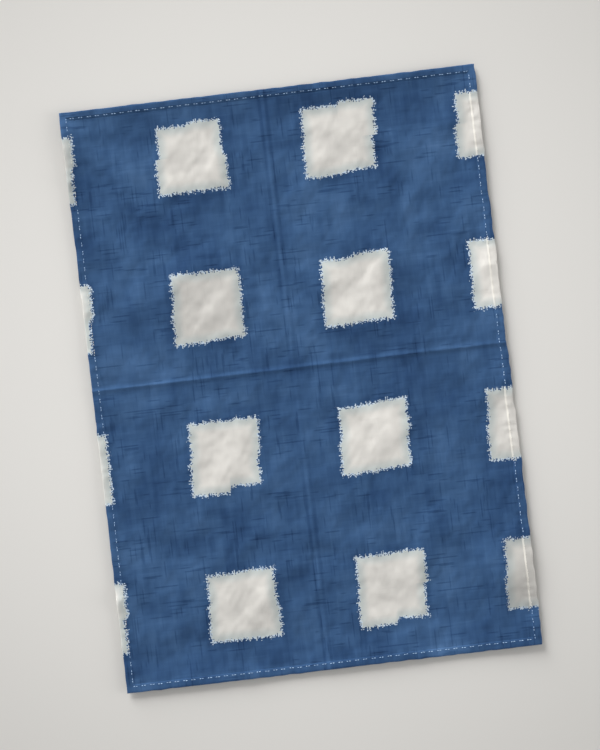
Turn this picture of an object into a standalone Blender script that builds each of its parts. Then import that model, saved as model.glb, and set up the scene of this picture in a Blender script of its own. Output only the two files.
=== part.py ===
# Dyed cloth with a narrow sewn hem on all four sides, lying flat as it was opened out.
# It is one piece: a rectangle whose borders are turned under twice, so the hem is the same solid as the field.
# Metres, +Z up. X runs across the cloth, Y along it, and the origin is on the surface below its middle.

import bmesh
import bpy
import math

# Driving sizes
WIDTH = 0.500
LENGTH = 0.700
CLOTH_THICKNESS = 0.0010
HEM_THICKNESS = 0.0018
HEM_WIDTH = 0.0085
HEM_SLOPE = 0.0015  # the step from the hem's top down to the field

# Storage creases: the cloth was folded once across and once along, and each fold left a low ridge
CROSS_CREASE = {"at": 0.0145, "rise": 0.0014, "half_width": 0.0038}
LONG_CREASE = {"at": -0.0058, "rise": 0.0008, "half_width": 0.0048, "foot_share": 0.65}
CREASE_OFFSETS = (-0.0075, -0.0045, -0.0020, 0.0, 0.0020, 0.0045, 0.0075)  # mesh lines beside a crease

# The borders, with values at even places along each side: left and right from foot to head, foot and head
# from left to right. The hems are stiffer than the field, so they lift off the surface and bow out and in.
EDGE_BAND = 0.045
EDGE_LIFTS = {
    "left": (0.0038, 0.0027, 0.0034, 0.0024, 0.0031, 0.0025, 0.0035, 0.0028),
    "right": (0.0049, 0.0041, 0.0048, 0.0037, 0.0050, 0.0041, 0.0048, 0.0038),
    "foot": (0.0036, 0.0040, 0.0031, 0.0038, 0.0030, 0.0044),
    "head": (0.0026, 0.0018, 0.0026, 0.0019, 0.0025, 0.0036),
}
EDGE_BOWS = {
    "left": (0.0005, 0.0003, 0.0001, 0.0001, -0.0004, -0.0003, -0.0001, 0.0005),
    "right": (0.0003, 0.0006, 0.0005, 0.0002, -0.0001, -0.0004, -0.0004, 0.0003),
    "foot": (0.0001, 0.0002, 0.0004, -0.0001, 0.0001, -0.0003),
    "head": (-0.0004, 0.0001, -0.0001, 0.0000, 0.0001, 0.0004),
}

# Soft swells in the field, where the cloth stands a little off the surface: a row for each
SWELL_COLUMNS = ("x", "y", "half_length", "half_width", "turn", "rise")
SWELLS = (
    (-0.062, 0.272, 0.060, 0.024, 70, 0.0026),
    (-0.148, 0.232, 0.058, 0.022, 62, 0.0022),
    (0.036, 0.236, 0.052, 0.026, 60, 0.0024),
    (0.094, 0.283, 0.040, 0.018, 50, 0.0016),
    (0.196, 0.262, 0.048, 0.022, 85, 0.0020),
    (-0.196, 0.118, 0.050, 0.024, 75, 0.0019),
    (-0.083, 0.104, 0.046, 0.018, 40, 0.0023),
    (0.112, 0.112, 0.060, 0.026, 68, 0.0027),
    (0.205, 0.090, 0.050, 0.022, 80, 0.0020),
    (-0.030, 0.066, 0.048, 0.020, 65, 0.0016),
    (-0.130, -0.036, 0.050, 0.024, 75, 0.0018),
    (-0.078, -0.092, 0.048, 0.020, 48, 0.0024),
    (0.010, -0.030, 0.050, 0.022, 70, 0.0015),
    (0.098, -0.078, 0.052, 0.022, 55, 0.0026),
    (0.138, -0.010, 0.044, 0.020, 60, 0.0018),
    (0.214, -0.142, 0.056, 0.024, 78, 0.0024),
    (-0.152, -0.150, 0.054, 0.026, 66, 0.0022),
    (-0.062, -0.196, 0.044, 0.020, 55, 0.0016),
    (0.140, -0.200, 0.056, 0.022, 62, 0.0024),
    (-0.068, -0.252, 0.056, 0.018, 58, 0.0029),
    (-0.185, -0.262, 0.056, 0.024, 52, 0.0024),
    (0.044, -0.290, 0.048, 0.022, 60, 0.0018),
    (0.092, -0.248, 0.036, 0.016, 45, 0.0017),
)
SWELL_SEAT = 0.0006  # swells lower than this lie flat on the surface
SEAT_BLEND = 0.0008

FIELD_STEP = 0.0160  # the widest spacing of the mesh in the field

INDIGO = (0.041, 0.092, 0.195)
ROUGHNESS = 0.9


def clear_scene():
    for thing in list(bpy.data.objects):
        bpy.data.objects.remove(thing)


def smooth_step(share):
    share = min(1.0, max(0.0, share))
    return share * share * (3 - 2 * share)


def along(values, share):
    # A value read from evenly spaced ones, with a smooth run between neighbours
    place = min(1.0, max(0.0, share)) * (len(values) - 1)
    first = min(int(place), len(values) - 2)
    return values[first] + (values[first + 1] - values[first]) * smooth_step(place - first)


def nearness(x, y):
    # 1 on the nearest side or end, falling to 0 across the edge band
    near_side = smooth_step(1 - (WIDTH / 2 - abs(x)) / EDGE_BAND)
    near_end = smooth_step(1 - (LENGTH / 2 - abs(y)) / EDGE_BAND)
    return near_side, near_end


def at_border(table, x, y):
    # What the table says beside this point, on the nearest side and on the nearest end
    side = along(table["right" if x > 0 else "left"], y / LENGTH + 0.5)
    end = along(table["head" if y > 0 else "foot"], x / WIDTH + 0.5)
    return side, end


def edge_lift(x, y):
    near_side, near_end = nearness(x, y)
    side, end = at_border(EDGE_LIFTS, x, y)
    return near_side * side + near_end * end - near_side * near_end * (side + end) / 2


def edge_bow(x, y):
    near_side, near_end = nearness(x, y)
    side, end = at_border(EDGE_BOWS, x, y)
    return math.copysign(near_side, x) * side, math.copysign(near_end, y) * end


def swell_rise(x, y):
    total = 0.0
    for row in SWELLS:
        swell = dict(zip(SWELL_COLUMNS, row))
        turn = math.radians(swell["turn"])
        dx, dy = x - swell["x"], y - swell["y"]
        lengthwise = (dx * math.cos(turn) + dy * math.sin(turn)) / swell["half_length"]
        crosswise = (dy * math.cos(turn) - dx * math.sin(turn)) / swell["half_width"]
        total += swell["rise"] * math.exp(-lengthwise**2 - crosswise**2)
    return total


def seated(rise):
    # Nothing below the seat height leaves the surface, and what is above it leaves smoothly
    over = max(0.0, rise - SWELL_SEAT)
    return over * over / (2 * SEAT_BLEND) if over < SEAT_BLEND else over - SEAT_BLEND / 2


def crease_rise(x, y):
    across = 1 - abs(y - CROSS_CREASE["at"]) / CROSS_CREASE["half_width"]
    lengthwise = 1 - abs(x - LONG_CREASE["at"]) / LONG_CREASE["half_width"]
    fade = LONG_CREASE["foot_share"] + (1 - LONG_CREASE["foot_share"]) * smooth_step(y / LENGTH + 0.5)
    cross_ridge = CROSS_CREASE["rise"] * smooth_step(across)
    long_ridge = LONG_CREASE["rise"] * fade * smooth_step(lengthwise)
    return max(cross_ridge, long_ridge)


def underside_height(x, y):
    return seated(swell_rise(x, y)) + edge_lift(x, y) + crease_rise(x, y)


def stations(half, crease_at):
    # Mesh lines across one direction: the hem, its step, the crease, and even spacing between them
    hem = [half, half - HEM_WIDTH, half - HEM_WIDTH - HEM_SLOPE]
    fixed = sorted(hem + [-place for place in hem] + [crease_at + offset for offset in CREASE_OFFSETS])
    lines = [fixed[0]]
    for place in fixed[1:]:
        start = lines[-1]
        gap = place - start
        count = math.ceil(gap / FIELD_STEP)
        lines += [start + gap * (step + 1) / count for step in range(count)]
    return lines


def dyed_cotton():
    material = bpy.data.materials.new("indigo_cotton")
    material.use_nodes = True
    surface = material.node_tree.nodes["Principled BSDF"]
    surface.inputs["Base Color"].default_value = (*INDIGO, 1.0)
    surface.inputs["Roughness"].default_value = ROUGHNESS
    surface.inputs["Metallic"].default_value = 0.0
    return material


def underside_mesh():
    # The cloth's underside as one grid, with how deep each point is in the hem kept as a vertex weight
    columns = stations(WIDTH / 2, LONG_CREASE["at"])
    rows = stations(LENGTH / 2, CROSS_CREASE["at"])
    build = bmesh.new()
    bmesh.ops.create_grid(build, x_segments=len(columns) - 1, y_segments=len(rows) - 1, size=0.5)
    hem_depth = build.verts.layers.deform.verify()
    for vertex in build.verts:
        x = columns[round((vertex.co.x + 0.5) * (len(columns) - 1))]
        y = rows[round((vertex.co.y + 0.5) * (len(rows) - 1))]
        bow_x, bow_y = edge_bow(x, y)
        vertex.co = (x + bow_x, y + bow_y, underside_height(x, y))
        inset = min(WIDTH / 2 - abs(x), LENGTH / 2 - abs(y))
        vertex[hem_depth][0] = 1 - smooth_step((inset - HEM_WIDTH) / HEM_SLOPE)
    mesh = bpy.data.meshes.new("cloth")
    build.to_mesh(mesh)
    build.free()
    return mesh


def hemmed_cloth(collection):
    mesh = underside_mesh()
    mesh.materials.append(dyed_cotton())
    mesh.shade_smooth()
    mesh.set_sharp_from_angle(angle=math.radians(40))
    cloth = bpy.data.objects.new("cloth", mesh)
    collection.objects.link(cloth)
    cloth.vertex_groups.new(name="hem")
    thickness = cloth.modifiers.new("thickness", "SOLIDIFY")
    thickness.thickness = HEM_THICKNESS
    thickness.offset = 1.0  # the modelled surface is the underside
    thickness.vertex_group = "hem"
    thickness.thickness_vertex_group = CLOTH_THICKNESS / HEM_THICKNESS
    return cloth


def main():
    clear_scene()
    collection = bpy.data.collections.new("dyed cloth")
    bpy.context.scene.collection.children.link(collection)
    hemmed_cloth(collection)


main()
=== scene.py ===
# Looks of the dyed cloth: the woven panel with its folded hems, its stitching, the floor, light and camera
import math
import random

import bpy
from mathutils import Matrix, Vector, noise


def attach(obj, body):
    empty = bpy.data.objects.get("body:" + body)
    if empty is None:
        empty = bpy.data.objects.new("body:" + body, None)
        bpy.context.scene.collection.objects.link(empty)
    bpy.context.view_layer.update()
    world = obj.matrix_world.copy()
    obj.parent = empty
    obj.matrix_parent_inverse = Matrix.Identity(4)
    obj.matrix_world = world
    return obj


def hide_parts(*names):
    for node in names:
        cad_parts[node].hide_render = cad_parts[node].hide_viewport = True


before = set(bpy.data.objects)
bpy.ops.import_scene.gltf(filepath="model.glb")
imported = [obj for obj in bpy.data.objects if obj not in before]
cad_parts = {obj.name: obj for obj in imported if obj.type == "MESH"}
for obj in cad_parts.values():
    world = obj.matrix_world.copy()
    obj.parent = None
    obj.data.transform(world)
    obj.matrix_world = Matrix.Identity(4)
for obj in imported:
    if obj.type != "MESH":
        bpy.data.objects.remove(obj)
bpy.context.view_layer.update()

mm = 0.001


# Helpers for modelling

def deselectAll():
    if bpy.context.object and bpy.context.object.mode != "OBJECT":
        bpy.ops.object.mode_set(mode="OBJECT")
    bpy.ops.object.select_all(action="DESELECT")


def smoothStep(share):
    share = min(1.0, max(0.0, share))
    return share * share * (3 - 2 * share)


def along(values, share):  # a value read from evenly spaced ones
    place = min(1.0, max(0.0, share)) * (len(values) - 1)
    first = min(int(place), len(values) - 2)
    return values[first] + (values[first + 1] - values[first]) * smoothStep(place - first)


# How the cloth lies: the same creases, swells and lifted borders as its solid has, and finer crumples

lie = {
    "width": 0.500,
    "length": 0.700,
    "crossCrease": {
        "left": 0.0140, "right": 0.0149, "rise": 0.0014, "footWidth": 0.0042, "headWidth": 0.0033,
    },
    "longCrease": {
        "at": -0.0058, "rise": 0.0008, "leftWidth": 0.0045, "rightWidth": 0.0050, "footShare": 0.65,
    },
    "waver": {"most": 0.0007, "crossLength": 0.05, "longLength": 0.06},  # how a crease strays to either side
    "edgeBand": 0.045,
    "lifts": {  # left and right from foot to head, foot and head from left to right
        "left": (0.0038, 0.0027, 0.0034, 0.0024, 0.0031, 0.0025, 0.0035, 0.0028),
        "right": (0.0049, 0.0041, 0.0048, 0.0037, 0.0050, 0.0041, 0.0048, 0.0038),
        "foot": (0.0036, 0.0040, 0.0031, 0.0038, 0.0030, 0.0044),
        "head": (0.0026, 0.0018, 0.0026, 0.0019, 0.0025, 0.0036),
    },
    "bows": {
        "left": (0.0005, 0.0003, 0.0001, 0.0001, -0.0004, -0.0003, -0.0001, 0.0005),
        "right": (0.0003, 0.0006, 0.0005, 0.0002, -0.0001, -0.0004, -0.0004, 0.0003),
        "foot": (0.0001, 0.0002, 0.0004, -0.0001, 0.0001, -0.0003),
        "head": (-0.0004, 0.0001, -0.0001, 0.0000, 0.0001, 0.0004),
    },
    "ripple": {"length": 0.012, "right": 0.0014, "left": 0.0007, "ends": 0.0006},  # of the finished edge
    "swells": (  # x, y, half length, half width, turn in degrees, rise
        (-0.062, 0.272, 0.060, 0.024, 70, 0.0026),
        (-0.148, 0.232, 0.058, 0.022, 62, 0.0022),
        (0.036, 0.236, 0.052, 0.026, 60, 0.0024),
        (0.094, 0.283, 0.040, 0.018, 50, 0.0016),
        (0.196, 0.262, 0.048, 0.022, 85, 0.0020),
        (-0.196, 0.118, 0.050, 0.024, 75, 0.0019),
        (-0.083, 0.104, 0.046, 0.018, 40, 0.0023),
        (0.112, 0.112, 0.060, 0.026, 68, 0.0027),
        (0.205, 0.090, 0.050, 0.022, 80, 0.0020),
        (-0.030, 0.066, 0.048, 0.020, 65, 0.0016),
        (-0.130, -0.036, 0.050, 0.024, 75, 0.0018),
        (-0.078, -0.092, 0.048, 0.020, 48, 0.0024),
        (0.010, -0.030, 0.050, 0.022, 70, 0.0015),
        (0.098, -0.078, 0.052, 0.022, 55, 0.0026),
        (0.138, -0.010, 0.044, 0.020, 60, 0.0018),
        (0.214, -0.142, 0.056, 0.024, 78, 0.0024),
        (-0.152, -0.150, 0.054, 0.026, 66, 0.0022),
        (-0.062, -0.196, 0.044, 0.020, 55, 0.0016),
        (0.140, -0.200, 0.056, 0.022, 62, 0.0024),
        (-0.068, -0.252, 0.056, 0.018, 58, 0.0029),
        (-0.185, -0.262, 0.056, 0.024, 52, 0.0024),
        (0.044, -0.290, 0.048, 0.022, 60, 0.0018),
        (0.092, -0.248, 0.036, 0.016, 45, 0.0017),
    ),
    "puckers": (  # small ones, most of them on and beside the hems, with the same columns
        (-0.070, -0.250, 0.028, 0.008, 60, 0.0012),
        (-0.113, 0.076, 0.017, 0.009, 50, 0.0014),
        (0.066, -0.071, 0.022, 0.009, 50, 0.0012),
        (0.044, 0.108, 0.028, 0.016, 66, 0.0016),
        (-0.078, 0.263, 0.022, 0.010, 36, 0.0014),
        (0.098, -0.262, 0.018, 0.009, 48, 0.0010),
        (-0.241, 0.318, 0.036, 0.016, 90, 0.0044),
        (-0.244, 0.268, 0.010, 0.006, 90, 0.0032),
        (-0.246, -0.2385, 0.012, 0.0070, 90, 0.0042),
        (-0.242, -0.282, 0.020, 0.007, 90, 0.0009),
        (-0.242, 0.052, 0.018, 0.008, 90, 0.0012),
        (-0.243, -0.095, 0.015, 0.007, 90, 0.0008),
        (0.222, -0.236, 0.034, 0.026, 20, 0.0050),
        (0.225, -0.268, 0.030, 0.020, 32, 0.0052),
        (0.206, -0.270, 0.042, 0.016, 84, 0.0026),
        (-0.118, 0.128, 0.056, 0.030, 22, 0.0046),
        (0.240, 0.262, 0.018, 0.010, 60, 0.0012),
        (0.238, 0.110, 0.022, 0.012, 40, 0.0016),
        (0.242, -0.075, 0.018, 0.008, 75, 0.0010),
        (0.122, -0.315, 0.036, 0.016, 8, 0.0017),
        (-0.110, -0.340, 0.020, 0.008, 160, 0.0012),
        (-0.160, 0.341, 0.018, 0.008, 10, 0.0010),
        (0.060, 0.340, 0.022, 0.008, 170, 0.0011),
    ),
    "seat": 0.0006,  # a swell lower than this lies flat on the surface
    "seatBlend": 0.0008,
    "crumple": {"size": 0.027, "rise": 0.0013, "lean": 62, "stretch": 1.7, "fineShare": 0.35},
}


def nearness(x, y):
    nearSide = smoothStep(1 - (lie["width"] / 2 - abs(x)) / lie["edgeBand"])
    nearEnd = smoothStep(1 - (lie["length"] / 2 - abs(y)) / lie["edgeBand"])
    return nearSide, nearEnd


def atBorder(table, x, y):
    side = along(table["right" if x > 0 else "left"], y / lie["length"] + 0.5)
    end = along(table["head" if y > 0 else "foot"], x / lie["width"] + 0.5)
    return side, end


def edgeLift(x, y):
    nearSide, nearEnd = nearness(x, y)
    side, end = atBorder(lie["lifts"], x, y)
    return nearSide * side + nearEnd * end - nearSide * nearEnd * (side + end) / 2


def edgeBow(x, y):
    nearSide, nearEnd = nearness(x, y)
    side, end = atBorder(lie["bows"], x, y)
    ripple = lie["ripple"]
    sideWave = ripple["right" if x > 0 else "left"] * noise.noise(Vector((y / ripple["length"], 2.6, x > 0)))
    endWave = ripple["ends"] * noise.noise(Vector((x / ripple["length"], 7.1, y > 0)))
    return (math.copysign(nearSide, x) * (side + nearSide**4 * sideWave),
            math.copysign(nearEnd, y) * (end + nearEnd**4 * endWave))


def swellRise(x, y, table="swells"):
    total = 0.0
    for atX, atY, halfLength, halfWidth, degrees, rise in lie[table]:
        turn = math.radians(degrees)
        lengthwise = ((x - atX) * math.cos(turn) + (y - atY) * math.sin(turn)) / halfLength
        crosswise = ((y - atY) * math.cos(turn) - (x - atX) * math.sin(turn)) / halfWidth
        total += rise * math.exp(-lengthwise**2 - crosswise**2)
    return total


def crumpleRise(x, y):
    crumple = lie["crumple"]
    lean = math.radians(crumple["lean"])
    lengthwise = (x * math.cos(lean) + y * math.sin(lean)) / (crumple["size"] * crumple["stretch"])
    crosswise = (y * math.cos(lean) - x * math.sin(lean)) / crumple["size"]
    broad = noise.noise(Vector((lengthwise, crosswise, 3.1)))
    fine = noise.noise(Vector((lengthwise * 2.3, crosswise * 2.1, 8.4)))
    return crumple["rise"] * (broad + crumple["fineShare"] * fine)


def seated(rise):  # below the seat height the cloth lies flat
    over = max(0.0, rise - lie["seat"])
    blend = lie["seatBlend"]
    return over * over / (2 * blend) if over < blend else over - blend / 2


def creaseRise(x, y):
    cross, long, waver = lie["crossCrease"], lie["longCrease"], lie["waver"]
    crossAt = cross["left"] + (cross["right"] - cross["left"]) * smoothStep(x / 0.2 + 0.2)
    past = y - crossAt - waver["most"] * noise.noise(Vector((x / waver["crossLength"], 5.2, 0)))
    width = cross["headWidth" if past > 0 else "footWidth"]
    crossRidge = cross["rise"] * smoothStep(1 - abs(past) / width)
    past = x - long["at"] - waver["most"] * noise.noise(Vector((1.7, y / waver["longLength"], 0)))
    width = long["rightWidth" if past > 0 else "leftWidth"]
    fade = long["footShare"] + (1 - long["footShare"]) * smoothStep(y / lie["length"] + 0.5)
    longRidge = long["rise"] * fade * smoothStep(1 - abs(past) / width)
    return max(crossRidge, longRidge)


def undersideHeight(x, y):
    raised = swellRise(x, y, "puckers") + edgeLift(x, y) + creaseRise(x, y)
    return seated(swellRise(x, y) + crumpleRise(x, y)) + raised


def layDown(piece):  # carries a piece modelled flat onto the height at which the cloth lies
    for vertex in piece.data.vertices:
        x, y, z = vertex.co
        bowX, bowY = edgeBow(x, y)
        vertex.co = (x + bowX, y + bowY, z + undersideHeight(x, y))
    piece.data.update()


# The panel: one layer of cotton, its borders turned under twice

panel = {
    "cellsAcross": 138,
    "cellsAlong": 194,
    "layer": 0.40 * mm,
    "hemStart": 10.2 * mm,  # where the field begins, in from the edge
    "gap": 0.02 * mm,  # between the hem's layers
    "gather": {"share": 0.75, "reach": 0.015},  # draws mesh lines together at the creases
}
layer = panel["layer"]
underLayer = layer / 2
tuckedLayer = underLayer + layer + panel["gap"]
topLayer = tuckedLayer + layer + panel["gap"]


def fold(inset, low, high, fromDegrees, toDegrees, outward):
    # half a turn of the cloth between two layers, as insets from the edge and heights
    radius = (high - low) / 2
    side = -1 if outward else 1
    points = []
    steps = 4
    for step in range(1, steps):
        angle = math.radians(fromDegrees + (toDegrees - fromDegrees) * step / steps)
        points.append((inset + side * radius * math.cos(angle), low + radius + radius * math.sin(angle)))
    return points


def hemRings():
    # the hem's section: from the field over the top, round the edge, back underneath and up into the hem
    outer = (topLayer - underLayer) / 2
    return [
        (panel["hemStart"], underLayer),
        (9.6 * mm, underLayer + 0.14 * mm),
        (9.1 * mm, underLayer + 0.50 * mm),
        (8.6 * mm, topLayer - 0.16 * mm),
        (8.1 * mm, topLayer - 0.03 * mm),
        (7.3 * mm, topLayer - 0.06 * mm),
        (6.2 * mm, topLayer),
        (4.3 * mm, topLayer + 0.03 * mm),
        (2.4 * mm, topLayer + 0.02 * mm),
        (outer, topLayer),
        *fold(outer, underLayer, topLayer, 90, -90, True),
        (outer, underLayer),
        (3.0 * mm, underLayer),
        (5.6 * mm, underLayer),
        (8.2 * mm, underLayer),
        *fold(8.2 * mm, underLayer, tuckedLayer, -90, 90, False),
        (8.2 * mm, tuckedLayer),
        (4.6 * mm, tuckedLayer),
        (1.3 * mm, tuckedLayer),
    ]


def gathered(place, crease):
    offset = place - crease
    gather = panel["gather"]
    return place - gather["share"] * offset * math.exp(-(offset / gather["reach"])**2)


def makePanel():
    deselectAll()
    rings = hemRings()
    inset, height = rings[0]
    size = [lie["width"] - 2 * inset, lie["length"] - 2 * inset]
    bpy.ops.mesh.primitive_grid_add(x_subdivisions=panel["cellsAcross"], y_subdivisions=panel["cellsAlong"],
                                    size=1, calc_uvs=False, location=(0, 0, height))
    cloth = bpy.context.object
    cloth.name = "dyedCloth"
    bpy.ops.object.mode_set(mode="EDIT")
    bpy.ops.transform.resize(value=(size[0], size[1], 1))
    bpy.ops.mesh.select_mode(type="EDGE")
    bpy.ops.mesh.region_to_loop()
    for nextInset, nextHeight in rings[1:]:
        nextSize = [lie["width"] - 2 * nextInset, lie["length"] - 2 * nextInset]
        bpy.ops.mesh.extrude_edges_move()
        bpy.ops.transform.resize(value=(nextSize[0] / size[0], nextSize[1] / size[1], 1))
        bpy.ops.transform.translate(value=(0, 0, nextHeight - height))
        size, height = nextSize, nextHeight
    bpy.ops.object.mode_set(mode="OBJECT")
    bpy.ops.object.transform_apply(location=True, rotation=True, scale=True)
    for vertex in cloth.data.vertices:
        vertex.co.x = gathered(vertex.co.x, lie["longCrease"]["at"])
        vertex.co.y = gathered(vertex.co.y, lie["crossCrease"]["left"])
    layDown(cloth)
    bpy.ops.object.modifier_add(type="SOLIDIFY")
    cloth.modifiers["Solidify"].thickness = layer
    cloth.modifiers["Solidify"].offset = 0
    bpy.ops.object.modifier_apply(modifier="Solidify")
    bpy.ops.object.shade_smooth_by_angle(angle=math.radians(50))
    print("panel:", len(cloth.data.vertices), "points")
    return cloth


# The dyed squares: an even grid, and how far each half of a square's sides lies out from its true size

squares = {
    "pitch": 180.4,  # this and what follows is in mm
    "firstX": 80.0,
    "firstY": 99.1,
    "half": 41.8,
    "slope": 9.0,  # the width over which one half gives way to the other, unless a third number says it
    "sides": {  # column, row: left (head half, foot half), right, head (left half, right half), foot
        (-2, 1): ((0, 0), (0, -4, 4), (-2, -2), (-1, -1)),
        (-2, 0): ((0, 0), (1, -4, 4), (0, 0), (-1, -1)),
        (-2, -1): ((0, 0), (-1, -1), (0, 0), (0, 0)),
        (-2, -2): ((0, 0), (0, -4, 1), (2, 2), (-1, -1)),
        (-1, 1): ((-4, 1, 1), (-2, 1), (-3, 1), (0, 0)),
        (-1, 0): ((-1, 2), (0, -1), (0, 0), (1, -1)),
        (-1, -1): ((-1, 2), (1, -3), (1, 1), (3, -4, 1)),
        (-1, -2): ((-2, 1), (-1, 1), (-2, 0), (-1, 0)),
        (0, 1): ((1, 3), (3, -2, 1), (0, 4, 3), (1, -4, 20)),
        (0, 0): ((-1, 1), (1, -1), (-3, 2, 18), (0, -2)),
        (0, -1): ((-2, 1), (1, -2), (-1, 3, 22), (-1, -4, 22)),
        (0, -2): ((-1, 1, 1), (1, -3, 1), (-1, 1), (3, -4, 3)),
        (1, 1): ((-4, 0, 2), (0, 0), (-3, -1), (-2, -3)),
        (1, 0): ((1, 1), (0, 0), (0, 2), (-1, -3)),
        (1, -1): ((0, 4), (0, 0), (0, 2), (2, 2)),
        (1, -2): ((0, 3), (0, 0), (0, 1), (1, 1)),
    },
    "greyed": {  # column, row: painted shade, how much greyer than the palest one a square is
        (-2, 1): 0.22, (-1, 1): 0.08, (0, 1): 0.08, (1, 1): 0.13,
        (-2, 0): 0.00, (-1, 0): 0.16, (0, 0): 0.05, (1, 0): 0.02,
        (-2, -1): 0.00, (-1, -1): 0.04, (0, -1): 0.00, (1, -1): 0.14,
        (-2, -2): 0.06, (-1, -2): 0.08, (0, -2): 0.08, (1, -2): 0.30,
    },
}
sideNames = ("leftSide", "rightSide", "headSide", "footSide")


def chartSquares(cloth):
    # each point carries its own square's four sides: first half, second half, and how they meet
    mesh = cloth.data
    owners = []
    for vertex in mesh.vertices:
        column = round((vertex.co.x / mm - squares["firstX"]) / squares["pitch"])
        row = round((vertex.co.y / mm - squares["firstY"]) / squares["pitch"])
        owners.append((column, row))
    for number, name in enumerate(sideNames):
        values = []
        for owner in owners:
            sides = squares["sides"].get(owner)
            first, second, *rest = sides[number] if sides else (0, 0)
            values += [first, second, rest[0] if rest else squares["slope"]]
        layerOfSide = mesh.attributes.new(name, "FLOAT_VECTOR", "POINT")
        layerOfSide.data.foreach_set("vector", values)
    # each point carries its square's painted shade
    paintedSquareShade = mesh.attributes.new("paintedSquareShade", "FLOAT", "POINT")
    paintedSquareShade.data.foreach_set("value", [squares["greyed"].get(owner, 0.0) for owner in owners])


# Shader maths

class Value:  # one output of a node, so that sums can be written as they are
    def __init__(self, recipe, socket):
        self.recipe = recipe
        self.socket = socket

    def math(self, operation, *others):
        return self.recipe.math(operation, self, *others)

    def __add__(self, other):
        return self.math("ADD", other)

    def __radd__(self, other):
        return self.math("ADD", other)

    def __sub__(self, other):
        return self.math("SUBTRACT", other)

    def __rsub__(self, other):
        return self.recipe.math("SUBTRACT", other, self)

    def __mul__(self, other):
        return self.math("MULTIPLY", other)

    def __truediv__(self, other):
        return self.math("DIVIDE", other)

    def __rtruediv__(self, other):
        return self.recipe.math("DIVIDE", other, self)

    def __pow__(self, other):
        return self.math("POWER", other)

    def __neg__(self):
        return self.math("MULTIPLY", -1.0)

    def __abs__(self):
        return self.math("ABSOLUTE")

    def least(self, other):
        return self.math("MINIMUM", other)

    def over(self, other):
        return self.math("GREATER_THAN", other)

    def between(self, low, high, start=0.0, end=1.0):  # a smooth run from low to high
        sockets = {"Value": self, "From Min": low, "From Max": high, "To Min": start, "To Max": end}
        return self.recipe.node("ShaderNodeMapRange", {"interpolation_type": "SMOOTHSTEP"}, sockets)


class Recipe:  # the nodes of a material under way
    def __init__(self, name, made=None):
        self.material = made or bpy.data.materials.new(name)
        self.material.use_nodes = True
        self.tree = self.material.node_tree
        self.surface = self.tree.nodes.get("Principled BSDF")

    def node(self, kind, settings, sockets, out=0):
        made = self.tree.nodes.new(kind)
        for name, value in settings.items():
            if name == "stops":
                self.setStops(made.color_ramp, value)
            else:
                setattr(made, name, value)
        self.fill(made, sockets)
        return Value(self, made.outputs[out])

    def setStops(self, ramp, stops):
        for number, (place, colour) in enumerate(stops):
            stop = ramp.elements[number] if number < 2 else ramp.elements.new(place)
            stop.position = place
            stop.color = self.opaque(colour)

    def fill(self, made, sockets):
        for name, value in sockets.items():
            if isinstance(value, Value):
                self.tree.links.new(value.socket, made.inputs[name])
            else:
                made.inputs[name].default_value = value

    def math(self, operation, *values):
        return self.node("ShaderNodeMath", {"operation": operation}, dict(enumerate(values)))

    def vector(self, x, y, z):
        return self.node("ShaderNodeCombineXYZ", {}, {"X": x, "Y": y, "Z": z})

    def parts(self, vector):
        return [self.node("ShaderNodeSeparateXYZ", {}, {"Vector": vector}, axis) for axis in ("X", "Y", "Z")]

    def cloud(self, x, y, z, detail=1.0):  # a smooth noise, from 0 to 1
        sockets = {"Vector": self.vector(x, y, z), "Scale": 1.0, "Detail": detail, "Roughness": 0.5}
        return self.node("ShaderNodeTexNoise", {"noise_dimensions": "3D"}, sockets)

    def chance(self, x, y, z):  # a number from 0 to 1 for each whole x, y and z
        sockets = {"Vector": self.vector(x, y, z)}
        return self.node("ShaderNodeTexWhiteNoise", {"noise_dimensions": "3D"}, sockets)

    def carried(self, name, out):  # what the mesh carries under this name
        settings = {"attribute_type": "GEOMETRY", "attribute_name": name}
        return self.node("ShaderNodeAttribute", settings, {}, out)

    def mix(self, share, first, second):  # of two colours
        sockets = {0: share, 6: self.opaque(first), 7: self.opaque(second)}
        return self.node("ShaderNodeMix", {"data_type": "RGBA"}, sockets, 2)

    def opaque(self, colour):
        return colour if isinstance(colour, Value) else (*colour, 1)

    def finish(self, **constants):
        self.fill(self.surface, constants)
        return self.material


def linear(red, green, blue):
    return tuple(((c / 255 + 0.055) / 1.055)**2.4 if c > 10 else c / 3294.6 for c in (red, green, blue))


# The cotton: slubby yarns both ways, dyed blue round undyed squares whose sides break from yarn to yarn

cotton = {  # lengths are in mm
    "yarn": 1.15,  # between the yarns whose dye edge can be told apart
    "fineYarn": 0.9,
    "fineLength": 9,  # along which a yarn keeps its shade
    "apart": 3.7,  # how far apart in a noise two neighbouring yarns lie
    "stepAt": 1.5,  # where along a square's side its two halves meet, from the middle
    "toothLength": 3.0,
    "toothBack": 1.0,
    "wander": 1.4,
    "wanderLength": 7.0,
    "speckle": 4.8,
    "rimSpeckle": 2.4,
    "blue": ((0.0, linear(24, 49, 84)), (0.30, linear(41, 70, 108)), (0.52, linear(54, 85, 124)),
             (0.74, linear(66, 98, 138)), (1.0, linear(81, 113, 153))),
    "undyed": linear(224, 221, 215),
    "rim": linear(200, 219, 237),
    "rimDepths": (1.9, 0.4),
    "bleed": linear(196, 203, 201),
    "bleedDepths": (15.0, 2.0),
    # painted highlight: the pale colour of the hem's step along the stitch line, where it faces the light
    "ribHighlight": linear(237, 233, 222),
    "ribHighlightShare": 0.46,
    "ribAt": 1.2,  # how far within the stitch line
    "grey": (0.1, 0.1, 0.1),
    "stitchLine": 7.7,  # the middle of the stitch lines' distances from the edge
    "stitchPitch": 9.92,
    "weave": 1.2,
    "grooves": {"foot": 0.3, "head": 2.4, "side": 0.4},  # how deep, beside the stitch line
    "roughness": 0.9,
}
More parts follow.
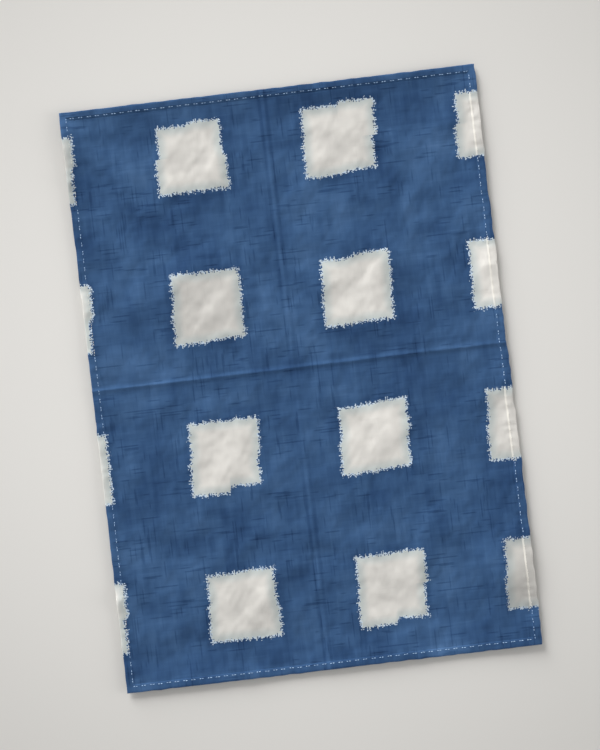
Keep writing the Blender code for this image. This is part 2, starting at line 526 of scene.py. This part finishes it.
noises = {  # how long the waves are in mm, in the two directions that it is used for, its seed, its detail
    "mottle": (80, 80, 9.2, 1.0),
    "patch": (34, 34, 1.7, 1.0),
    "weftBroad": (55, 8, 17.5, 1.0),
    "warpBroad": (8, 55, 18.5, 1.0),
    "stain": (17, 24, 6.1, 1.0),
    "crumple": (17, 28, 4.4, 1.0),
    "broadCrumple": (30, 40, 2.7, 0.0),
    "smallCrumple": (8, 10, 7.7, 0.0),
    "hemWave": (15, 40, 5.9, 1.0),
    "hemUneven": (23, 20, 6.6, 1.0),
    "wear": (6, 6, 2.2, 2.0),
}
slubs = {  # the width of yarns side by side, the length of a run, and the noise between which a slub grows
    "block": (13.0, 38, 0.49, 0.55),  # a stretch of cloth that has many thick slubs
    "thick": (1.5, 30, 0.63, 0.76),
    "wide": (6.0, 40, 0.52, 0.66),
    "pale": (2.0, 30, 0.62, 0.76),
}
tones = {  # how far each thing shifts the dye's tone, which runs from 0, darkest, to 1, palest
    "base": 0.53,
    "mottle": 0.72,
    "patch": 0.37,
    "weftBroad": 0.15,
    "warpBroad": 0.28,
    "weftSlub": -0.23,
    "warpSlub": -0.18,
    "wideSlub": -0.045,
    "block": 0.045,
    "paleSlub": 0.03,
    "fine": 0.03,
    "besideSquare": -0.08,
    "atSquare": -0.12,
    # painted shade: dark along both flanks of the long crease and in a band beside the foot hem
    "leftFlank": -0.169,
    "rightFlank": -0.13,
    "foot": -0.07,
}
greys = {"base": 0.05, "stain": 0.13, "slub": 0.02, "fine": -0.03, "mottle": -0.08}
rises = {  # in mm
    "weave": 0.022,
    "slub": 0.02,
    "crumple": 2.4,
    "broadCrumple": 4.0,
    "smallCrumple": 0.38,
    "pull": 0.2,
    "hemWave": 1.2,
    "roll": 0.5,
}


def drift(recipe, name, x, y):
    firstLength, secondLength, seed, detail = noises[name]
    return recipe.cloud(x / firstLength, y / secondLength, seed, detail)


def weighed(shares, things, total=0.0):
    # the things added up, each times its share
    for name, thing in things.items():
        total = thing * shares[name] + total
    return total


def squareOf(place, firstName):
    # the number of the column or row that a place belongs to, and how far it is from that square's middle
    number = ((place - squares[firstName]) / squares["pitch"]).math("ROUND")
    return number, place - number * squares["pitch"] - squares[firstName]


def dyeEdge(recipe, halfSign, sideName, yarnAt, acrossAt, squareNumber, seed):
    # how far out this side of the square lies beside this point, and how far its yarn's tooth reaches, in mm
    first, second, slope = recipe.parts(recipe.carried(sideName, "Vector"))
    past = (acrossAt - cotton["stepAt"]) * halfSign
    step = past.between(-slope, slope, second, first)
    yarn = (yarnAt / cotton["yarn"]).math("FLOOR")
    tooth = recipe.chance(yarn, squareNumber, seed)**3 * cotton["toothLength"] - cotton["toothBack"]
    wander = recipe.cloud(yarnAt / cotton["wanderLength"], squareNumber * 5.3, seed) - 0.5
    return step + wander * (2 * cotton["wander"]), tooth


def depthInSquare(recipe, x, y):
    # how deep a point lies in its square, before and after the yarns break the edge; negative outside it
    column, u = squareOf(x, "firstX")
    row, v = squareOf(y, "firstY")
    half = squares["half"]
    sides = (  # the depth within each side, its sign along that side, its name, and its yarns' directions
        (u + half, 1, "leftSide", y, v, column, 1.5),
        (half - u, 1, "rightSide", y, v, column, 2.5),
        (half - v, -1, "headSide", x, u, row, 3.5),
        (v + half, -1, "footSide", x, u, row, 4.5),
    )
    soft, inside = None, None
    for depth, halfSign, name, yarnAt, acrossAt, squareNumber, seed in sides:
        edge, tooth = dyeEdge(recipe, halfSign, name, yarnAt, acrossAt, squareNumber, seed)
        softSide = depth + edge
        soft = softSide if soft is None else soft.least(softSide)
        inside = softSide + tooth if inside is None else inside.least(softSide + tooth)
    return soft, inside


def slubRuns(recipe, kind, across, alongYarn, seed):
    # runs in which some yarns side by side are thicker, or dyed more or less than the rest
    width, length, low, high = slubs[kind]
    yarn = (across / width).math("FLOOR")
    return recipe.cloud(alongYarn / length, yarn * cotton["apart"], seed, 0.0).between(low, high)


def makeYarns(recipe, x, y):
    # the yarns' shades by name: thick slubs come in blocks, which end where a new yarn begins
    weftBlock = slubRuns(recipe, "block", y, x, 21.5)
    warpBlock = slubRuns(recipe, "block", x, y, 22.5)
    weft = (y / cotton["fineYarn"]).math("FLOOR") * cotton["apart"]
    warp = (x / cotton["fineYarn"]).math("FLOOR") * cotton["apart"]
    weftFine = recipe.cloud(x / cotton["fineLength"], weft, 15.5, 0.0) - 0.5
    warpFine = recipe.cloud(warp, y / cotton["fineLength"], 16.5, 0.0) - 0.5
    return {
        "mottle": drift(recipe, "mottle", x, y) - 0.5,
        "patch": drift(recipe, "patch", x, y) - 0.5,
        "weftBroad": drift(recipe, "weftBroad", x, y) - 0.5,
        "warpBroad": drift(recipe, "warpBroad", x, y) - 0.5,
        "weftSlub": slubRuns(recipe, "thick", y, x, 11.5) * (0.10 + weftBlock * 0.90),
        "warpSlub": slubRuns(recipe, "thick", x, y, 12.5) * (0.10 + warpBlock * 0.90),
        "wideSlub": slubRuns(recipe, "wide", y, x, 19.5) + slubRuns(recipe, "wide", x, y, 20.5),
        "block": weftBlock + warpBlock - 1,
        "paleSlub": slubRuns(recipe, "pale", y, x, 13.5) + slubRuns(recipe, "pale", x, y, 14.5),
        "fine": weftFine + warpFine,
    }


def makeBlue(recipe, x, y, yarns, soft, edgeDepth):
    # the dye is darker round the squares; painted shade darkens both flanks of the long crease and a band
    # beside the foot hem
    # how strong the painted shade on the crease's flanks is: weaker near the cross crease
    wearAndFlankShade = abs(y + 10).between(10, 200, 0.3, 1.0)
    shades = {
        **yarns,
        "besideSquare": soft.between(-16.0, 0.0),
        "atSquare": edgeDepth.between(-3.0, -0.2),
        "leftFlank": abs(x + 11.0).between(3.2, 0.4) * wearAndFlankShade,
        "rightFlank": abs(x + 2.8).between(3.4, 0.4) * wearAndFlankShade,
        # painted shade in a band beside the foot hem
        "foot": abs(y + 328).between(16, 5),
    }
    tone = weighed(tones, shades, tones["base"])
    return recipe.node("ShaderNodeValToRGB", {"stops": cotton["blue"]}, {"Fac": tone}, "Color")


def makeUndyed(recipe, x, y, yarns, soft, edgeDepth, ribHighlight):
    # undyed cotton, greyer and bluer where the dye has crept in from the sides, with faint stains, and
    # painted shade that greys some squares more than others
    pearly = recipe.mix(soft.between(*cotton["bleedDepths"]), cotton["undyed"], cotton["bleed"])
    pearly = recipe.mix(edgeDepth.between(*cotton["rimDepths"]), pearly, cotton["rim"])
    dark = {"slub": yarns["weftSlub"] + yarns["warpSlub"], "fine": yarns["fine"], "mottle": yarns["mottle"]}
    stain = drift(recipe, "stain", x, y).between(0.2, 0.8) - 0.5
    # painted shade: each square's own greying from the table, added to the yarns' grey
    greyed = weighed(greys, dark).math("MAXIMUM", 0.0) + recipe.carried("paintedSquareShade", "Fac")
    greyed = weighed(greys, {"stain": stain}, greyed + greys["base"])
    pearly = recipe.mix(greyed, pearly, cotton["grey"])
    # painted highlight along the stitch line of the right-hand squares
    return recipe.mix(ribHighlight * cotton["ribHighlightShare"], pearly, cotton["ribHighlight"])


def makeRelief(recipe, x, y, yarns, lineInset, atSide):
    # in mm: the weave, the slubs, soft crumples, and the puckers that the stitches pull
    weaveTurn = math.pi / cotton["weave"]
    across = x * 0.87 - y * 0.49  # most folds run up to the right
    lengthwise = x * 0.49 + y * 0.87
    hemPlace = x + (y - x) * atSide  # the distance along the hem
    stitchTurn = hemPlace * (2 * math.pi / cotton["stitchPitch"])
    uneven = drift(recipe, "hemUneven", hemPlace, lineInset)
    forms = {
        "weave": (x * weaveTurn).math("SINE") * (y * weaveTurn).math("SINE"),
        "slub": yarns["weftSlub"] + yarns["warpSlub"],
        "crumple": drift(recipe, "crumple", across, lengthwise),
        "broadCrumple": drift(recipe, "broadCrumple", across, lengthwise),
        "smallCrumple": drift(recipe, "smallCrumple", x, y),
        "pull": stitchTurn.math("COSINE") * abs(lineInset).between(11.0, 0.0) * uneven,
        "hemWave": drift(recipe, "hemWave", hemPlace, lineInset) * abs(lineInset).between(16.0, 0.0),
        "roll": lineInset.between(-cotton["stitchLine"], 0.0, 1.0, 0.0),
    }
    grooves = cotton["grooves"]
    endGroove = y.between(-350, 350, grooves["foot"], grooves["head"])
    grooveDepth = endGroove + (grooves["side"] - endGroove) * atSide
    return weighed(rises, forms) - abs(lineInset - cotton["ribAt"]).between(2.6, 0.0) * uneven * grooveDepth


def makeCotton():
    recipe = Recipe("slubbyCotton")
    place = recipe.node("ShaderNodeTexCoord", {}, {}, "Object")
    x, y = [axis * (1 / mm) for axis in recipe.parts(place)[:2]]

    soft, inside = depthInSquare(recipe, x, y)
    warp, weft = [(axis / cotton["yarn"]).math("FLOOR") for axis in (x, y)]
    fleck = recipe.chance(warp, weft, 5.5) - 0.5
    undyed = (inside + fleck * cotton["speckle"]).between(-0.35, 0.35)
    edgeDepth = inside + fleck * cotton["rimSpeckle"]

    # the border: how far in from the stitch line, and a painted highlight along the hem's ridge beside it
    # across the right-hand squares
    sideInset = lie["width"] / 2 / mm - abs(x)
    endInset = lie["length"] / 2 / mm - abs(y)
    lineInset = sideInset.least(endInset) - cotton["stitchLine"]
    atSide = endInset.over(sideInset)
    ribHighlight = abs(lineInset - cotton["ribAt"]).between(1.9, 0.2) * atSide * x.over(0.0)

    yarns = makeYarns(recipe, x, y)
    blue = makeBlue(recipe, x, y, yarns, soft, edgeDepth)
    pearly = makeUndyed(recipe, x, y, yarns, soft, edgeDepth, ribHighlight)
    relief = makeRelief(recipe, x, y, yarns, lineInset, atSide)
    bumpSockets = {"Strength": 1.0, "Distance": mm, "Height": relief}
    surface = {
        "Base Color": recipe.mix(undyed, blue, pearly),
        "Normal": recipe.node("ShaderNodeBump", {}, bumpSockets, "Normal"),
        "Roughness": cotton["roughness"],
        "Specular IOR Level": 0.12,
        "Sheen Weight": 0.05,
        "Sheen Roughness": 0.5,
    }
    return recipe.finish(**surface)


# The hem stitching: running stitches in pale thread, close to the hem's inner side

stitching = {
    "insets": {"foot": 7.4 * mm, "right": 8.0 * mm, "head": 7.8 * mm, "left": 7.8 * mm},
    "acrossCount": 49,
    "alongCount": 69,
    "threadWidth": 0.62 * mm,
    "threadHeight": 0.40 * mm,
    "sides": 5,
    "path": (  # share of one stitch along, mm above the hem's top
        (0.02, -0.65), (0.06, 0.08), (0.20, 0.08), (0.25, -0.50), (0.32, -0.50), (0.37, 0.08),
        (0.53, 0.08), (0.58, -0.65), (0.68, -1.43), (0.94, -1.43),
    ),
    "slip": 0.35 * mm,  # along the line, to either side of its even place
    "swing": 0.025,  # radians out of line
    "colour": linear(196, 225, 255),
    "wornAndShadedColour": linear(128, 163, 214),
    "undyed": linear(222, 218, 210),  # where it crosses an undyed square
    "twist": 0.55,  # mm
}
hemTop = topLayer + layer / 2


def makeStitch(length, name):
    deselectAll()
    bpy.ops.mesh.primitive_circle_add(vertices=stitching["sides"], radius=stitching["threadWidth"] / 2,
                                      fill_type="NGON", rotation=(0, math.pi / 2, 0))
    stitch = bpy.context.object
    stitch.name = name
    bpy.ops.object.transform_apply(location=True, rotation=True, scale=True)
    bpy.ops.object.mode_set(mode="EDIT")
    bpy.ops.transform.resize(value=(1, 1, stitching["threadHeight"] / stitching["threadWidth"]))
    share, height = stitching["path"][0]
    bpy.ops.transform.translate(value=(share * length, 0, hemTop + height * mm))
    for nextShare, nextHeight in stitching["path"][1:]:
        bpy.ops.mesh.extrude_region_move()
        bpy.ops.transform.translate(value=((nextShare - share) * length, 0, (nextHeight - height) * mm))
        share, height = nextShare, nextHeight
    bpy.ops.mesh.select_all(action="SELECT")
    bpy.ops.mesh.normals_make_consistent(inside=False)
    bpy.ops.object.mode_set(mode="OBJECT")
    return stitch


def makeStitching():
    picked = random.Random(4)
    insets = stitching["insets"]
    left, right = insets["left"] - lie["width"] / 2, lie["width"] / 2 - insets["right"]
    foot, head = insets["foot"] - lie["length"] / 2, lie["length"] / 2 - insets["head"]
    runs = (  # start, direction in degrees, length, how many
        ((left, foot), 0, right - left, stitching["acrossCount"]),
        ((right, foot), 90, head - foot, stitching["alongCount"]),
        ((right, head), 180, right - left, stitching["acrossCount"]),
        ((left, head), 270, head - foot, stitching["alongCount"]),
    )
    slip, swing = stitching["slip"], stitching["swing"]
    stitches = []
    for (startX, startY), degrees, length, count in runs:
        period = length / count
        pattern = makeStitch(period, "stitchPattern")
        turn = math.radians(degrees)
        for number in range(count):
            copy = pattern.copy()
            copy.data = pattern.data.copy()
            bpy.context.scene.collection.objects.link(copy)
            place = number * period + picked.uniform(-slip, slip)
            copy.location = (startX + place * math.cos(turn), startY + place * math.sin(turn), 0)
            copy.rotation_euler = (0, 0, turn + picked.uniform(-swing, swing))
            copy.scale = (picked.uniform(0.94, 1.0), picked.uniform(0.85, 1.1), 1)
            stitches.append(copy)
        bpy.data.objects.remove(pattern)
    deselectAll()
    for stitch in stitches:
        stitch.select_set(True)
    bpy.context.view_layer.objects.active = stitches[0]
    bpy.ops.object.join()
    thread = bpy.context.object
    thread.name = "hemStitching"
    bpy.ops.object.transform_apply(location=True, rotation=True, scale=True)
    layDown(thread)
    bpy.ops.object.shade_smooth_by_angle(angle=math.radians(60))
    print("stitches:", len(stitches))
    return thread


def makeThread():
    recipe = Recipe("paleThread")
    place = recipe.node("ShaderNodeTexCoord", {}, {}, "Object")
    x, y, z = [axis * (1 / mm) for axis in recipe.parts(place)]
    twist = ((x + y + z) * (2 * math.pi / stitching["twist"])).math("SINE")
    wearAndFlankShade = drift(recipe, "wear", x, y).between(0.35, 0.7)
    # the thread's wear, and painted shade in the grooves of its twist
    shade = wearAndFlankShade * 0.4 + (1 - twist) * 0.08
    colour = recipe.mix(shade, stitching["colour"], stitching["wornAndShadedColour"])
    u, v = squareOf(x, "firstX")[1], squareOf(y, "firstY")[1]
    onSquare = (squares["half"] - abs(u).math("MAXIMUM", abs(v))).between(-0.36, 1.08)
    colour = recipe.mix(onSquare, colour, stitching["undyed"])
    sockets = {"Strength": 0.6, "Distance": mm, "Height": twist * 0.05}
    bump = recipe.node("ShaderNodeBump", {}, sockets, "Normal")
    surface = {"Base Color": colour, "Normal": bump, "Roughness": 0.8, "Specular IOR Level": 0.25}
    return recipe.finish(**surface)


# Floor, light and camera

studio = {
    "floorSize": 6.0,
    "floorColour": linear(230, 228, 224),
    "paintedFloorShade": linear(196, 194, 190),  # painted shade: the floor's colour further out, as if the light fell off
    "floorFall": {"square": 2.2, "x": 0.14, "y": -0.10},  # how the one gives way to the other
    "photoTurn": -6.75,  # the camera's turn about the vertical, in degrees
    "aim": (-0.0004, 0.0046),
    "cameraHeight": 2.126,
    "lens": 85,
    "lamps": (  # name, bearing in degrees round from the cloth's right, elevation, distance, size, power
        ("window", 114, 19, 9.0, 5.4, 1200),
        ("bounce", -12, 15, 7.0, 3.4, 175),
    ),
    "fill": 0.262,  # light from the pale walls all round, brightest low down
    "fillSoftness": 0.05,
}


def makeFloor():
    deselectAll()
    bpy.ops.mesh.primitive_plane_add(size=studio["floorSize"], location=(0, 0, -0.0002))
    floor = bpy.context.object
    floor.name = "floor"
    recipe = Recipe("paleFloor")
    place = recipe.node("ShaderNodeTexCoord", {}, {}, "Object")
    x, y, z = recipe.parts(place)
    # painted shade: the floor darkens away from the middle, more towards the right and the bottom
    fall = studio["floorFall"]
    away = ((x * x + y * y) * fall["square"] + x * fall["x"] + y * fall["y"]).math("MAXIMUM", 0.001)
    away = (away**-4 + 1)**-0.25  # grows as it is near the cloth, and levels out at 1 further off
    colour = recipe.mix(away, studio["floorColour"], studio["paintedFloorShade"])
    surface = {"Base Color": colour, "Roughness": 0.9, "Specular IOR Level": 0.1}
    floor.data.materials.append(recipe.finish(**surface))


def makeLights():
    for name, bearing, elevation, distance, size, power in studio["lamps"]:
        bearing, elevation = math.radians(bearing), math.radians(elevation)
        reach = distance * math.cos(elevation)
        place = Vector((reach * math.cos(bearing), reach * math.sin(bearing), distance * math.sin(elevation)))
        bpy.ops.object.light_add(type="AREA", location=place)
        lamp = bpy.context.object
        lamp.name = name
        lamp.rotation_euler = (-place).to_track_quat("-Z", "Y").to_euler()
        lamp.data.shape = "DISK"
        lamp.data.size = size
        lamp.data.energy = power
    world = bpy.data.worlds.new("studio")
    bpy.context.scene.world = world
    world.use_nodes = True
    recipe = Recipe("walls", world)
    up = recipe.parts(recipe.node("ShaderNodeTexCoord", {}, {}, "Generated"))[2]
    strength = studio["fill"] / (up.math("MAXIMUM", 0.0) + studio["fillSoftness"])
    recipe.fill(world.node_tree.nodes["Background"], {"Strength": strength, "Color": (1, 1, 1, 1)})


def makeCamera():
    bpy.ops.object.camera_add(location=(*studio["aim"], studio["cameraHeight"]),
                              rotation=(0, 0, math.radians(studio["photoTurn"])))
    camera = bpy.context.object
    camera.name = "camera"
    camera.data.lens = studio["lens"]
    camera.data.sensor_width = 36
    bpy.context.scene.camera = camera
    bpy.context.scene.view_settings.view_transform = "Standard"
    bpy.context.scene.view_settings.look = "None"


cloth = makePanel()
chartSquares(cloth)
cloth.data.materials.append(makeCotton())
thread = makeStitching()
thread.data.materials.append(makeThread())
for piece, slotName in ((cloth, "indigo_cotton"), (thread, "stitching_thread")):
    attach(piece, "root")
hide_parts("cloth")
print("pieces made")

makeFloor()
makeLights()
makeCamera()
print("stage made")
